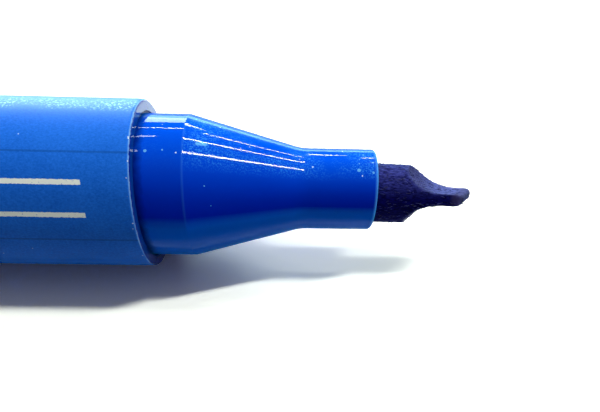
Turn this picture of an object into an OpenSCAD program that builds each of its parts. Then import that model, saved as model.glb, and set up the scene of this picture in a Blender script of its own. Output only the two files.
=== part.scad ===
// Felt-tip marker pen with a slanted chisel nib, cap pushed on to its tail.
// It lies on a table along X with the nib towards +X and +Z up. The origin is
// on the pen's axis at the barrel's mouth. The pen has rolled until the clip
// of the cap touches the table.

/* [Barrel] */
// Outside diameter of the barrel
barrel_d = 15; // [12.5:0.1:20]
// Length of the barrel from its mouth to its rear shoulder
barrel_len = 76; // [62:0.5:110]
// Wall of the barrel at its mouth
barrel_wall = 0.94; // [0.8:0.02:1.6]
// Round on the outer edge of the mouth
mouth_round = 0.25; // [0.1:0.05:0.5]
// Angle that the flatter print panel takes up on the side of the barrel
panel_angle = 56; // [30:1:90]
// How far the middle of the panel lies below the round of the barrel
panel_depth = 0.15; // [0.05:0.01:0.3]
// Height of the ribs that centre the ink reservoir in the bore
rib_h = 1.15; // [0.8:0.05:1.6]
// Thickness of a reservoir rib
rib_t = 0.8; // [0.5:0.1:1.2]
// Number of reservoir ribs
rib_count = 6; // [4:2:8]

/* [Front section] */
// Length of the collar that the cap seats on
collar_len = 3.9; // [3:0.1:8]
// Length of the cone between the collar and the neck
cone_len = 10; // [6:0.1:16]
// Length of the neck round the nib
neck_len = 6.8; // [4:0.1:10]
// Wall of the neck
neck_wall = 0.93; // [0.7:0.01:1.4]
// Wall of the hollow cone and of the plug in the barrel
front_wall = 1.1; // [0.8:0.05:1.4]
// Length of the plug inside the barrel
plug_len = 10; // [8:0.5:14]
// Radius of the blend between the cone and the neck
neck_blend = 4; // [2:0.5:6]
// Round on the front edge of the neck
neck_round = 0.35; // [0.1:0.05:0.5]
// Thickness of the fins that hold the nib inside the cone
fin_t = 0.8; // [0.6:0.1:1.2]
// Number of nib fins
fin_count = 4; // [3:1:6]

/* [Chisel nib] */
// Diameter of the nib rod
nib_d = 5.4; // [4.4:0.1:6.5]
// How far the middle of the writing edge stands out of the neck
nib_out = 9.4; // [7.5:0.05:12]
// Slant of the writing edge
nib_slant = 28; // [10:1:35]
// Thickness of the blade
blade_t = 1.1; // [0.8:0.05:1.6]
// Length of the blade before the hollow-ground faces begin
blade_len = 1.7; // [1.2:0.1:2.5]
// Radius of the hollow-ground faces
grind_r = 4; // [3:0.05:5]
// Round on the long corner of the writing edge
nib_corner = 0.7; // [0.3:0.05:1]
// Round on the short corner of the writing edge
nib_heel = 1.5; // [0.5:0.1:2]
// How far the rod reaches into the ink reservoir
nib_dip = 6; // [4:0.5:10]

/* [Ink reservoir] */
// Thickness of the film round the fibre core
film_t = 0.2; // [0.15:0.05:0.4]
// Outside diameter of the air tube beside the core
air_tube_d = 0.9; // [0.7:0.05:1.1]
// Wall of the air tube
air_tube_wall = 0.2; // [0.15:0.05:0.25]

/* [Tail plug] */
// Length of the spigot inside the barrel
spigot_len = 7.5; // [5:0.5:9]
// How far the stops behind the reservoir reach out of the spigot
stop_len = 2; // [1:0.1:4]
// Space between the end of the stub and the seal cup of the posted cap
stub_room = 3.2; // [1:0.1:6]
// Wall of the hollow plug
tail_wall = 1.2; // [0.8:0.1:2]

/* [Cap] */
// Thickness of the end wall of the cap
crown_t = 1.4; // [1:0.1:2.5]
// Round on the end of the cap
crown_round = 2; // [1:0.1:2.5]
// How much deeper the seat in the cap is than the stub is long
seat_room = 1; // [0.5:0.1:2]
// Room between the nib and the end of the seal cup when the pen is capped
tip_room = 1.6; // [1:0.1:4]
// Wall of the seal cup
cup_wall = 0.8; // [0.6:0.1:1.2]
// Length of the neck that the seal cup reaches over when the pen is capped
cup_lap = 3.5; // [2:0.1:4]
// Length of the ribs that grip the seal cup
cup_rib_len = 9; // [6:0.5:11]
// Number of air slots in the end wall, and of ribs between them
vent_count = 3; // [3:1:5]
// Angle that one air slot takes up
vent_angle = 50; // [20:1:60]
// Width of the pocket clip
clip_w = 4; // [3:0.1:6]
// Thickness of the clip
clip_t = 1.6; // [1.2:0.1:2.2]
// Space between the clip and the cap
clip_gap = 1.25; // [0.8:0.05:2]
// Length of the foot that joins the clip to the cap
clip_foot = 5; // [3:0.5:8]
// How far the clip's end stays back from the mouth of the cap
clip_back = 3; // [1:0.5:10]
// Round on the outer edges of the clip
clip_round = 0.4; // [0.2:0.05:0.6]

/* [Fits] */
// Clearance of a pushed-in plug, on the radius
plug_fit = 0.05; // [0.02:0.01:0.1]
// Gap between the collar and the mouth of the barrel, on the radius
collar_gap = 0.21; // [0.1:0.01:0.3]
// How deep the step between the plug and the collar lies inside the mouth
collar_sink = 0.1; // [0:0.05:0.3]
// Clearance of the cap on the collar and on the stub, on the radius
cap_fit = 0.1; // [0.05:0.01:0.1]
// Clearance of the nib in the neck and in the core, on the radius
nib_fit = 0.05; // [0.02:0.01:0.1]
// Clearance of the reservoir between the ribs, on the radius
core_fit = 0.1; // [0.05:0.01:0.2]
// Clearance of the film on the core, on the radius
film_fit = 0.02; // [0.01:0.01:0.05]
// Clearance of the seal cup on the neck, on the radius
cup_fit = 0.1; // [0.05:0.01:0.2]
// Space between the mouth of the cap and the barrel
cap_gap = 0.3; // [0.1:0.05:0.5]
// Space between pieces that stand end to end
end_gap = 0.3; // [0.1:0.05:0.5]

/* [Hidden] */
$fn = 96;
// Overlap that keeps cuts clear of the faces they pass through
cut = 0.5;

barrel_r = barrel_d / 2;
bore_r = barrel_r - barrel_wall;
plug_r = bore_r - plug_fit;
collar_r = bore_r - collar_gap;
nib_r = nib_d / 2;
nib_hole_r = nib_r + nib_fit;
neck_r = nib_hole_r + neck_wall;
reservoir_r = bore_r - rib_h - core_fit;
core_r = reservoir_r - film_t - film_fit;

// Stations along the pen
cone_x = collar_len;
neck_x = cone_x + cone_len;
front_x = neck_x + neck_len;
tip_x = front_x + nib_out;
long_tip_x = tip_x + nib_r * tan(nib_slant);
core_x = -plug_len - end_gap;
tail_x = -barrel_len;
spigot_x = tail_x + spigot_len;
stop_x = spigot_x + stop_len;
core_end_x = stop_x + end_gap;
core_len = core_x - core_end_x;

// The cone's slope, and the tangent length of its blend into the neck
cone_angle = atan2(collar_r - neck_r, cone_len);
blend_t = neck_blend * tan(cone_angle / 2);

// The panel is an arc of a larger circle through the two panel edges
panel_half = barrel_r * sin(panel_angle / 2);
panel_rise = barrel_r * (1 - cos(panel_angle / 2)) - panel_depth;
panel_r = (panel_half * panel_half + panel_rise * panel_rise) / (2 * panel_rise);

// The snap bead on the plug and its groove in the barrel
bead_x = -plug_len / 2;
bead_r = 0.5;
bead_h = 0.15;

// The tail bore is as wide as the ribs' inner circle, so ribs run into its shoulder
rib_r = bore_r - rib_h;
tail_bore_r = rib_r;
spigot_r = tail_bore_r - plug_fit;
shoulder_x = spigot_x + end_gap;
// The ribs stop where the plug of the front section rests on them, and leave the
// middle of the panel, at a quarter turn, between two ribs
rib_x = -plug_len;
rib_turn = 90 + 180 / rib_count;

// The cap as it sits on the tail: its bores, its seal cup, and its stations. The cup
// is as far from the cap's mouth as the nib is from the barrel's when the pen is capped.
cap_bore_r = collar_r + cap_fit;
cap_inner_r = collar_r - cap_fit;
cup_r = neck_r + cup_fit;
cup_out_r = cup_r + cup_wall;
cup_depth = long_tip_x + tip_room;
cup_front = front_x - cup_lap;
cup_end_t = cup_wall;
cap_x = tail_x - cap_gap;
cup_x = cap_x - cup_front;
stub_end_x = cup_x + stub_room;
seat_x = stub_end_x - seat_room;
cup_end_x = cap_x - cup_depth - cup_end_t;
crown_x = cup_end_x - crown_t;
// The air slots take the middle half of the space between the cup and the cap's wall
vent_edge = (cap_inner_r - cup_out_r) / 4;

// The clip, measured from the pen's axis, and the roll that lays its edge on the table
clip_low = barrel_r + clip_gap;
clip_top = clip_low + clip_t;
clip_end_x = cap_x - clip_back;
clip_start_x = crown_x + clip_round;
// The bump under the clip's end: its radius, its place, and how far it is sunk in the arm
clip_bump_r = 1;
clip_bump_back = 2.5;
clip_bump_sink = 0.3;
clip_root_r = barrel_r - barrel_wall / 2;
clip_mid_h = clip_top - clip_round;
clip_mid_w = clip_w / 2 - clip_round;
touch_angle = atan2(clip_mid_w, clip_mid_h)
            + acos((barrel_r - clip_round) / norm([clip_mid_h, clip_mid_w]));
pen_roll = 90 - touch_angle;

plastic_barrel = "#2F72D8";
plastic_gloss = "#0A46C8";
plastic_natural = "#D9DEE2";
felt_ink = "#14143C";
fibre_ink = "#28348C";
film_clear = "#A9B8E0";

// Turns the pen about its axis to the way it lies on the table
module laid() {
    rotate([-pen_roll, 0, 0])
        children();
}

// Revolves a drawing about the pen's axis: its x is the radius, its y runs along the pen
module turned(angle = 360) {
    rotate([0, 90, 0])
        rotate_extrude(angle = angle)
            children();
}

// A ring drawn between two radii, from one station to another
module ring(r1, r2, x1, x2) {
    translate([r1, x1])
        square([r2 - r1, x2 - x1]);
}

// What is taken off a square corner to round it; the corner points to +x and +y
module corner_cut(r) {
    difference() {
        square([r + cut, r + cut]);
        circle(r = r);
    }
}

// Blades that stand out from the axis, spread evenly round the pen
module blades(count, t, r1, r2, x1, x2, turn) {
    for (i = [0:count - 1])
        rotate([turn + i * 360 / count, 0, 0])
            translate([x1, -t / 2, r1])
                cube([x2 - x1, t, r2 - r1]);
}

// The barrel's outline across the pen: a round with one flatter panel facing -Y
module barrel_section() {
    intersection() {
        circle(r = barrel_r);
        translate([0, panel_r - barrel_r + panel_depth])
            circle(r = panel_r);
    }
}

module barrel_bore() {
    ring(0, bore_r, shoulder_x, cut);
    ring(0, tail_bore_r, tail_x - cut, shoulder_x + cut);
    translate([bore_r + bead_h - bead_r, bead_x])
        circle(r = bead_r);
}

module barrel() {
    color(plastic_barrel)
    laid() {
        difference() {
            translate([tail_x, 0, 0])
                rotate([90, 0, 90])
                    linear_extrude(height = barrel_len)
                        barrel_section();
            turned()
                barrel_bore();
            turned()
                translate([barrel_r - mouth_round, -mouth_round])
                    corner_cut(mouth_round);
        }
        // Ribs start inside the wall, so they and the wall are one piece
        blades(rib_count, rib_t, rib_r, bore_r + barrel_wall / 3, shoulder_x - cut, rib_x, rib_turn);
    }
}

// Outer line of the front section, with the blend between cone and neck
module front_outline() {
    difference() {
        union() {
            ring(0, plug_r, -plug_len, -collar_sink);
            ring(0, collar_r, -plug_len, cone_x);
            polygon([[0, cone_x], [collar_r, cone_x], [neck_r, neck_x], [0, neck_x]]);
            ring(0, neck_r, neck_x, front_x);
            neck_fillet();
            translate([plug_r + bead_h - bead_r, bead_x])
                circle(r = bead_r);
        }
        translate([neck_r - neck_round, front_x - neck_round])
            corner_cut(neck_round);
    }
}

module neck_fillet() {
    difference() {
        polygon([
            [neck_r, neck_x],
            [neck_r, neck_x + blend_t],
            [neck_r + blend_t * sin(cone_angle), neck_x - blend_t * cos(cone_angle)]
        ]);
        translate([neck_r + neck_blend, neck_x + blend_t])
            circle(r = neck_blend);
    }
}

// The hollow behind the neck keeps an even wall under the cone
module front_hollow() {
    hollow_r = collar_r - front_wall;
    hollow_end_x = cone_x + (hollow_r - nib_hole_r) / tan(cone_angle);
    ring(0, hollow_r, -plug_len - cut, cone_x);
    polygon([[0, cone_x], [hollow_r, cone_x], [nib_hole_r, hollow_end_x], [0, hollow_end_x]]);
    ring(0, nib_hole_r, -plug_len - cut, front_x + cut);
}

module front_section() {
    fin_r = collar_r - front_wall / 2;
    fin_turn = 180 / fin_count;
    color(plastic_gloss)
    laid() {
        difference() {
            turned()
                front_outline();
            turned()
                front_hollow();
        }
        // Fins end in the wall of the cone and leave the nib its hole
        intersection() {
            blades(fin_count, fin_t, nib_hole_r, fin_r, 0, neck_x, fin_turn);
            turned()
                polygon([[0, 0], [fin_r, 0], [fin_r, cone_x],
                         [neck_r - neck_wall / 2, neck_x], [0, neck_x]]);
        }
    }
}

// Side view of the wedge: hollow-ground on both faces, with a round writing edge.
// The drawing's x is measured square to the edge, which lies at zero.
module wedge_side() {
    half_t = blade_t / 2;
    difference() {
        union() {
            translate([-nib_out - nib_d, -nib_d])
                square([nib_out + nib_d - half_t, 2 * nib_d]);
            translate([-half_t, 0])
                circle(r = half_t);
        }
        for (side = [-1, 1]) {
            translate([-blade_len, side * (half_t + grind_r)])
                circle(r = grind_r);
            translate([-blade_len, side * (half_t + nib_d) - nib_d])
                square([blade_len + cut, 2 * nib_d]);
        }
    }
}

// Plan view of the nib's end: a slanted edge with a round on each corner
module wedge_plan() {
    tangent = nib_corner / tan(45 - nib_slant / 2);
    round_x = long_tip_x - tangent;
    heel_tangent = nib_heel * tan(45 - nib_slant / 2);
    short_tip_x = tip_x - nib_r * tan(nib_slant);
    heel_x = short_tip_x - heel_tangent;
    back_x = front_x - nib_d;
    polygon([
        [back_x, -nib_r - cut],
        [heel_x, -nib_r - cut],
        [heel_x, -nib_r],
        [heel_x, nib_heel - nib_r],
        [short_tip_x + heel_tangent * sin(nib_slant), heel_tangent * cos(nib_slant) - nib_r],
        [round_x + tangent * (1 - sin(nib_slant)), nib_r - tangent * cos(nib_slant)],
        [round_x, nib_r - nib_corner],
        [round_x, nib_r],
        [round_x, nib_r + cut],
        [back_x, nib_r + cut]
    ]);
    translate([round_x, nib_r - nib_corner])
        circle(r = nib_corner);
    translate([heel_x, nib_heel - nib_r])
        circle(r = nib_heel);
}

module chisel_nib() {
    nib_back_x = core_x - nib_dip;
    taper = nib_r / 2;
    // Half the width of the wedge before it is cut to the rod, wide enough for its slant
    wedge_half_w = nib_out + nib_d;
    color(felt_ink)
    laid() {
        // Round rod with a tapered end in the reservoir
        turned()
            polygon([[0, nib_back_x], [nib_r - taper, nib_back_x], [nib_r, nib_back_x + taper],
                     [nib_r, front_x], [0, front_x]]);
        intersection() {
            turned()
                ring(0, nib_r, front_x, long_tip_x + cut);
            translate([tip_x, 0, 0])
                rotate([0, 0, -nib_slant])
                    translate([0, wedge_half_w, 0])
                        rotate([90, 0, 0])
                            linear_extrude(height = 2 * wedge_half_w)
                                wedge_side();
            translate([0, 0, -nib_d])
                linear_extrude(height = 2 * nib_d)
                    wedge_plan();
        }
    }
}

module reservoir_core() {
    color(fibre_ink)
    laid()
        turned()
            difference() {
                ring(0, core_r, core_end_x, core_x);
                ring(0, nib_hole_r, core_x - nib_dip - end_gap, core_x + cut);
            }
}

module reservoir_film() {
    color(film_clear)
    laid()
        turned()
            ring(core_r + film_fit, reservoir_r, core_end_x, core_x);
}

// The air tube lies in the space between two ribs, against the film
module air_tube() {
    tube_r = air_tube_d / 2;
    tube_y = (reservoir_r + bore_r) / 2;
    color(plastic_natural)
    laid()
        translate([core_end_x, -tube_y, 0])
            rotate([0, 90, 0])
                difference() {
                    cylinder(r = tube_r, h = core_len);
                    translate([0, 0, -cut])
                        cylinder(r = tube_r - air_tube_wall, h = core_len + 2 * cut);
                }
}

module tail_plug() {
    lead_in = 0.6;
    stop_t = 1;
    stop_count = 4;
    hollow_r = spigot_r - tail_wall;
    color(plastic_gloss)
    laid() {
        turned()
            difference() {
                union() {
                    ring(0, spigot_r, tail_x, spigot_x);
                    ring(0, collar_r, stub_end_x + lead_in, tail_x);
                    polygon([[0, stub_end_x], [collar_r - lead_in, stub_end_x],
                             [collar_r, stub_end_x + lead_in], [0, stub_end_x + lead_in]]);
                }
                ring(0, hollow_r, stub_end_x + tail_wall, spigot_x + cut);
            }
        // Cross of stops that keeps the reservoir against the nib
        intersection() {
            blades(stop_count, stop_t, 0, hollow_r + tail_wall / 2,
                   stub_end_x + tail_wall / 2, stop_x, 0);
            turned()
                ring(0, hollow_r + tail_wall / 2, stub_end_x, stop_x + cut);
        }
    }
}

// Side view of the clip: foot, arm, inward bump and round end; x along the pen, y from the axis
module clip_side() {
    half_t = clip_t / 2;
    foot_round = clip_t;
    difference() {
        union() {
            translate([clip_start_x, clip_root_r])
                square([clip_foot, clip_top - clip_root_r]);
            translate([clip_start_x, clip_low])
                square([clip_end_x - half_t - clip_start_x, clip_t]);
            translate([clip_end_x - half_t, clip_low + half_t])
                circle(r = half_t);
            translate([clip_end_x - clip_bump_back, clip_low + clip_bump_sink])
                circle(r = clip_bump_r);
        }
        translate([clip_start_x + foot_round, clip_top - foot_round])
            mirror([1, 0])
                corner_cut(foot_round);
    }
}

// The clip across its width, with its outer edges rounded
module clip_across() {
    difference() {
        translate([-clip_w / 2, 0])
            square([clip_w, clip_top]);
        for (side = [0, 1])
            mirror([side, 0])
                translate([clip_mid_w, clip_mid_h])
                    corner_cut(clip_round);
    }
}

module clip() {
    rotate([-90, 0, 0])
        intersection() {
            translate([0, clip_w / 2, 0])
                rotate([90, 0, 0])
                    linear_extrude(height = clip_w)
                        clip_side();
            translate([crown_x, 0, 0])
                rotate([90, 0, 90])
                    linear_extrude(height = cap_x - crown_x)
                        clip_across();
        }
}

module cap_shell() {
    cup_rib_t = 1;
    // The first rib stands opposite the middle of an air slot
    cup_rib_turn = 180;
    color(plastic_gloss)
    laid() {
        difference() {
            union() {
                turned()
                    difference() {
                        ring(0, barrel_r, crown_x, cap_x);
                        translate([barrel_r - crown_round, crown_x + crown_round])
                            mirror([0, 1])
                                corner_cut(crown_round);
                        translate([barrel_r - mouth_round, cap_x - mouth_round])
                            corner_cut(mouth_round);
                    }
                clip();
            }
            turned()
                union() {
                    ring(0, cap_bore_r, seat_x, cap_x + cut);
                    ring(0, cap_inner_r, cup_end_x, seat_x + cut);
                }
            // Air slots through the end wall, between the ribs
            for (i = [0:vent_count - 1])
                rotate([(i + 0.5) * 360 / vent_count - vent_angle / 2, 0, 0])
                    turned(vent_angle)
                        ring(cup_out_r + vent_edge, cap_inner_r - vent_edge, crown_x - cut, cup_end_x + cut);
        }
        // Ribs that grip the seal cup
        blades(vent_count, cup_rib_t, cup_out_r + plug_fit, cap_inner_r + barrel_wall / 2,
               cup_end_x - crown_t / 2, cup_end_x + cup_rib_len, cup_rib_turn);
    }
}

module cap_seal_cup() {
    color(plastic_natural)
    laid()
        turned()
            difference() {
                ring(0, cup_out_r, cup_end_x, cup_x);
                ring(0, cup_r, cup_end_x + cup_end_t, cup_x + cut);
            }
}

barrel();
front_section();
chisel_nib();
reservoir_core();
reservoir_film();
air_tube();
tail_plug();
cap_shell();
cap_seal_cup();
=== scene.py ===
# %% [markdown]
# A felt-tip pen with a chisel nib lies on a white table, its cap pushed on to the tail.
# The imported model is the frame: it fixes where every piece is and how large it is, and this
# script adds the looks. Blender works in metres and a pen is measured in millimetres, so MM
# turns one into the other.

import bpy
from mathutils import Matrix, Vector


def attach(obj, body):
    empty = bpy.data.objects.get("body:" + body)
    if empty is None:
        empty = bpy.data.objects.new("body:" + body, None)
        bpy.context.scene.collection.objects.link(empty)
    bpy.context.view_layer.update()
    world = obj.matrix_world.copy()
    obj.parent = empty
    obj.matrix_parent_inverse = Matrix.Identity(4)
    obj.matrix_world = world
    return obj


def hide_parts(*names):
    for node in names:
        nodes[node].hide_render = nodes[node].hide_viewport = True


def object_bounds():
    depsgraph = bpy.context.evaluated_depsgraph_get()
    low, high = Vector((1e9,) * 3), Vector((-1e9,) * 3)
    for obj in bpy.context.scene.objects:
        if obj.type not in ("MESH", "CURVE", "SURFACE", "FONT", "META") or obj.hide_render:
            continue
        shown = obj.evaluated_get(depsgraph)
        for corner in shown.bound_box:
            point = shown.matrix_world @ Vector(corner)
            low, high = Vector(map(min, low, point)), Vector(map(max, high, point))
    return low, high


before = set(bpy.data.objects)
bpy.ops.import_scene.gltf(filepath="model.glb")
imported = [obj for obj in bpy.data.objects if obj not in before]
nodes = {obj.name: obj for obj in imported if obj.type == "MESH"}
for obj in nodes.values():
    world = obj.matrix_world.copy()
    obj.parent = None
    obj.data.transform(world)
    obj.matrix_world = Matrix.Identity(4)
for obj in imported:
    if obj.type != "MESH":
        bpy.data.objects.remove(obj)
cad_box = [list(corner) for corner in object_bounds()]

import math

import bmesh
import bpy
from mathutils import Matrix, Vector, noise

MM = 0.001
scene = bpy.context.scene
print("nodes", sorted(nodes))
print("CAD box in mm", [[round(value / MM, 2) for value in corner] for corner in cad_box])

# %% [markdown]
# The camera stands close to the pen, as a phone does for such a picture, so the perspective is
# strong. It looks from in front of the pen and above it. Its distance and angles were found by
# laying the pen's own edges, such as the rim of the barrel and the corner of the neck, over the
# picture. The picture is the upper part of a taller frame, and the camera's shift says so.

# %% Camera
IMAGE_WIDTH = 600
IMAGE_HEIGHT = 412
FOCAL_PX = 469.0
CENTRE_PX = (296.2, 326.9)
SENSOR_MM = 36.0
CAMERA_ALONG = 12.17 * MM
CAMERA_DISTANCE = 46.79 * MM
CAMERA_ELEVATION = math.radians(44.0)
VIEW_YAW = math.radians(3.64)
VIEW_PITCH = math.radians(60.35)
VIEW_ROLL = math.radians(3.67)


def camera_turn(yaw, pitch, roll):
    """Rotation of a camera that looks along +Y, turned to the right, tilted down and rolled."""
    level = Matrix.Rotation(-yaw, 3, "Z") @ Matrix.Rotation(math.pi / 2 - pitch, 3, "X")
    return level @ Matrix.Rotation(roll, 3, "Z")


camera_data = bpy.data.cameras.new("camera")
camera_data.sensor_width = SENSOR_MM
camera_data.lens = FOCAL_PX * SENSOR_MM / IMAGE_WIDTH
camera_data.shift_x = (IMAGE_WIDTH / 2 - CENTRE_PX[0]) / IMAGE_WIDTH
camera_data.shift_y = (CENTRE_PX[1] - IMAGE_HEIGHT / 2) / IMAGE_WIDTH
camera_data.clip_start = 1 * MM
camera = bpy.data.objects.new("camera", camera_data)
camera.location = (
    CAMERA_ALONG,
    -CAMERA_DISTANCE * math.cos(CAMERA_ELEVATION),
    CAMERA_DISTANCE * math.sin(CAMERA_ELEVATION),
)
camera.rotation_euler = camera_turn(VIEW_YAW, VIEW_PITCH, VIEW_ROLL).to_euler()
scene.collection.objects.link(camera)
scene.camera = camera
print("camera at", [round(value / MM, 2) for value in camera.location], "mm")
print("lens", round(camera_data.lens, 2), "mm")

# %% [markdown]
# A few helpers serve all the materials. One turns a colour that is written as an sRGB hex value
# into the linear numbers that a shader takes, one adds a node with its settings and links, one
# starts a material and one puts it on a piece.

# %% Helpers for materials
def linear(hex_colour):
    """Linear RGBA of an sRGB colour such as 2F72D8."""
    channels = [int(hex_colour[i:i + 2], 16) / 255 for i in (0, 2, 4)]
    return [c / 12.92 if c <= 0.04045 else ((c + 0.055) / 1.055) ** 2.4 for c in channels] + [1.0]


def add(tree, kind, inputs=None, **settings):
    """Adds a node. Settings are its own properties; inputs maps sockets to values or to outputs."""
    made = tree.nodes.new(kind)
    for name, value in settings.items():
        setattr(made, name, value)
    for key, value in (inputs or {}).items():
        if isinstance(value, bpy.types.NodeSocket):
            tree.links.new(value, made.inputs[key])
        else:
            made.inputs[key].default_value = value
    return made


def new_material(name, **constants):
    """A material with one Principled shader; the constants sit on the shader's own sockets."""
    material = bpy.data.materials.new(name)
    material.use_nodes = True
    shader = material.node_tree.nodes["Principled BSDF"]
    for socket, value in constants.items():
        shader.inputs[socket.replace("_", " ")].default_value = value
    return material, material.node_tree, shader


def dress(piece, material):
    """Puts one material on all of a piece's faces."""
    piece.data.materials.clear()
    piece.data.materials.append(material)


print("blue of the barrel, linear", [round(value, 3) for value in linear("226EE4")])

# %% [markdown]
# All patterns are laid out in the pen's own millimetres: x runs along the pen from the mouth of
# the barrel, and the flatter panel of the barrel faces -y. The pen has rolled on the table, so
# a Mapping node turns the coordinates back by that roll and scales metres to millimetres. Dust
# lies on every outer piece, so its mask is a helper too.

# %% Pen coordinates and dust
PEN_ROLL = math.radians(35.65)
DUST_CORE = 0.7


def pen_millimetres(tree):
    """The surface point in the pen's own millimetres, as one vector and as its three numbers."""
    place = add(tree, "ShaderNodeTexCoord")
    turned = add(tree, "ShaderNodeMapping", {
        "Vector": place.outputs["Object"],
        "Rotation": (PEN_ROLL, 0, 0),
        "Scale": (1 / MM, 1 / MM, 1 / MM),
    })
    axes = add(tree, "ShaderNodeSeparateXYZ", {"Vector": turned.outputs[0]})
    return turned.outputs[0], axes.outputs


def dust(tree, point, spacing, size):
    """Mask of dust specks: small balls at random points, of which the surface cuts a few."""
    cells = add(tree, "ShaderNodeTexVoronoi", {"Vector": point, "Scale": 1 / spacing})
    return add(tree, "ShaderNodeMapRange", {
        "Value": cells.outputs["Distance"],
        "From Min": size / spacing,
        "From Max": DUST_CORE * size / spacing,
    }).outputs[0]


print("roll of the pen", round(math.degrees(PEN_ROLL), 2), "degrees")

# %% [markdown]
# The barrel is moulded from blue polypropylene in a spark-eroded mould, so its outside is matte
# and finely mottled, with dust in the grain. It could have a plain blue with a bump; two noises,
# one as fine as the grain and one of wide clouds, mix two blues as the real mottling does.

# %% Barrel: mottled blue
barrel_plastic, tree, shader = new_material(
    "polypropylene_spark_textured",
    IOR=1.5,
    Specular_IOR_Level=0.075,
    Specular_Tint=linear("58DCFF"),
    Coat_Roughness=0.04,
    Sheen_Weight=0.18,
    Sheen_Roughness=0.3,
    Sheen_Tint=linear("48F4FF"),
)
point, (along, across, height) = pen_millimetres(tree)
# The mould's grit is about 0.05 mm; it is drawn at 0.14 mm, so that it shows at all, and drawn
# out a little along the pen, the way the barrel left its mould
GRAIN = 0.14
GRAIN_STRETCH = 0.7
CLOUD = 3.5
CLOUD_SHARE = 0.2
TONE_FROM = 0.31
TONE_TO = 0.69
DUST_SPACING = 1.8
DUST_SIZE = 0.08
drawn = add(tree, "ShaderNodeMapping", {
    "Vector": point,
    "Scale": (GRAIN_STRETCH / GRAIN, 1 / GRAIN, 1 / GRAIN),
}).outputs[0]
grain = add(tree, "ShaderNodeTexNoise", {
    "Vector": drawn,
    "Scale": 1.0,
    "Detail": 3.0,
    "Roughness": 0.6,
}).outputs[0]
cloud = add(tree, "ShaderNodeTexNoise", {"Vector": point, "Scale": 1 / CLOUD, "Detail": 3.0}).outputs[0]
tone = add(tree, "ShaderNodeMix", {0: CLOUD_SHARE, 2: grain, 3: cloud}, data_type="FLOAT").outputs[0]
tone = add(tree, "ShaderNodeMapRange", {
    "Value": tone,
    "From Min": TONE_FROM,
    "From Max": TONE_TO,
}).outputs[0]
blue = add(tree, "ShaderNodeMix", {
    0: tone,
    6: linear("0E56C8"),
    7: linear("226EE4"),
}, data_type="RGBA").outputs[2]
specks = dust(tree, point, DUST_SPACING, DUST_SIZE)
blue = add(tree, "ShaderNodeMix", {0: specks, 6: blue, 7: linear("9CC2F0")}, data_type="RGBA").outputs[2]
print(barrel_plastic.name, "grain", GRAIN, "mm")

# %% [markdown]
# A strip along the top, a little behind the ridge, is painted pale on the grit's peaks, in patches:
# partly scuffs from lying in a drawer and partly a painted highlight of the light from behind.
# Where the strip lies follows from the way its middle faces, so one dot product makes the mask.

# %% Barrel: scuffs and painted highlight strip
BARREL_R = 7.5
HIGHLIGHT_STRIP_LEAN = math.radians(15.0)
HIGHLIGHT_STRIP_WAY = (0, -math.sin(PEN_ROLL - HIGHLIGHT_STRIP_LEAN), math.cos(PEN_ROLL - HIGHLIGHT_STRIP_LEAN))
HIGHLIGHT_STRIP_FROM = 0.984 * BARREL_R
HIGHLIGHT_STRIP_TO = 0.997 * BARREL_R
HIGHLIGHT_STRIP_SHARE = 0.6
HIGHLIGHT_STRIP_GRIT = 0.2
HIGHLIGHT_STRIP_PEAKS = (0.5, 0.68)
HIGHLIGHT_STRIP_PATCHES = (0.36, 0.58)
scuffed_and_highlight = add(tree, "ShaderNodeVectorMath", {
    0: point,
    1: HIGHLIGHT_STRIP_WAY,
}, operation="DOT_PRODUCT").outputs["Value"]
scuffed_and_highlight = add(tree, "ShaderNodeMapRange", {
    "Value": scuffed_and_highlight,
    "From Min": HIGHLIGHT_STRIP_FROM,
    "From Max": HIGHLIGHT_STRIP_TO,
    "To Max": HIGHLIGHT_STRIP_SHARE,
}).outputs[0]
peaks = add(tree, "ShaderNodeTexNoise", {"Vector": point, "Scale": 1 / HIGHLIGHT_STRIP_GRIT, "Detail": 2.0}).outputs[0]
for source, (low, high) in ((peaks, HIGHLIGHT_STRIP_PEAKS), (cloud, HIGHLIGHT_STRIP_PATCHES)):
    share = add(tree, "ShaderNodeMapRange", {"Value": source, "From Min": low, "From Max": high}).outputs[0]
    scuffed_and_highlight = add(tree, "ShaderNodeMath", {0: scuffed_and_highlight, 1: share}, operation="MULTIPLY").outputs[0]
# Painted highlight, with scuffs: the strip's pale blue
blue = add(tree, "ShaderNodeMix", {0: scuffed_and_highlight, 6: blue, 7: linear("A8EEFF")}, data_type="RGBA").outputs[2]
print("scuffed strip, peaks of", HIGHLIGHT_STRIP_GRIT, "mm")

# %% [markdown]
# The panel on the side of the barrel is a little flatter than the round, with a fine moulded line
# along each edge. The lines are finer than a face of the mesh, so they are a mask too.

# %% Barrel: panel lines
PANEL_EDGE = 3.521
LINE_WIDTH = 0.15
LINE_SHARE = 0.45
front = add(tree, "ShaderNodeMath", {0: across, 1: 0.0}, operation="LESS_THAN").outputs[0]
edge = add(tree, "ShaderNodeMath", {0: height}, operation="ABSOLUTE").outputs[0]
edge = add(tree, "ShaderNodeMath", {
    0: edge,
    1: PANEL_EDGE,
    2: LINE_WIDTH / 2,
}, operation="COMPARE").outputs[0]
for share in (front, LINE_SHARE):
    edge = add(tree, "ShaderNodeMath", {0: edge, 1: share}, operation="MULTIPLY").outputs[0]
blue = add(tree, "ShaderNodeMix", {0: edge, 6: blue, 7: linear("0C3C86")}, data_type="RGBA").outputs[2]
print("panel lines", PANEL_EDGE, "mm to each side of the panel's middle")

# %% [markdown]
# Such panels carry a pad print, here two plain stripes in off-white ink. The ink film is only a
# few microns thick, so it is a mask in the material and not a piece of its own. Its edge wavers
# with the grain under it, and pinholes show where the ink missed a hollow.

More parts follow.
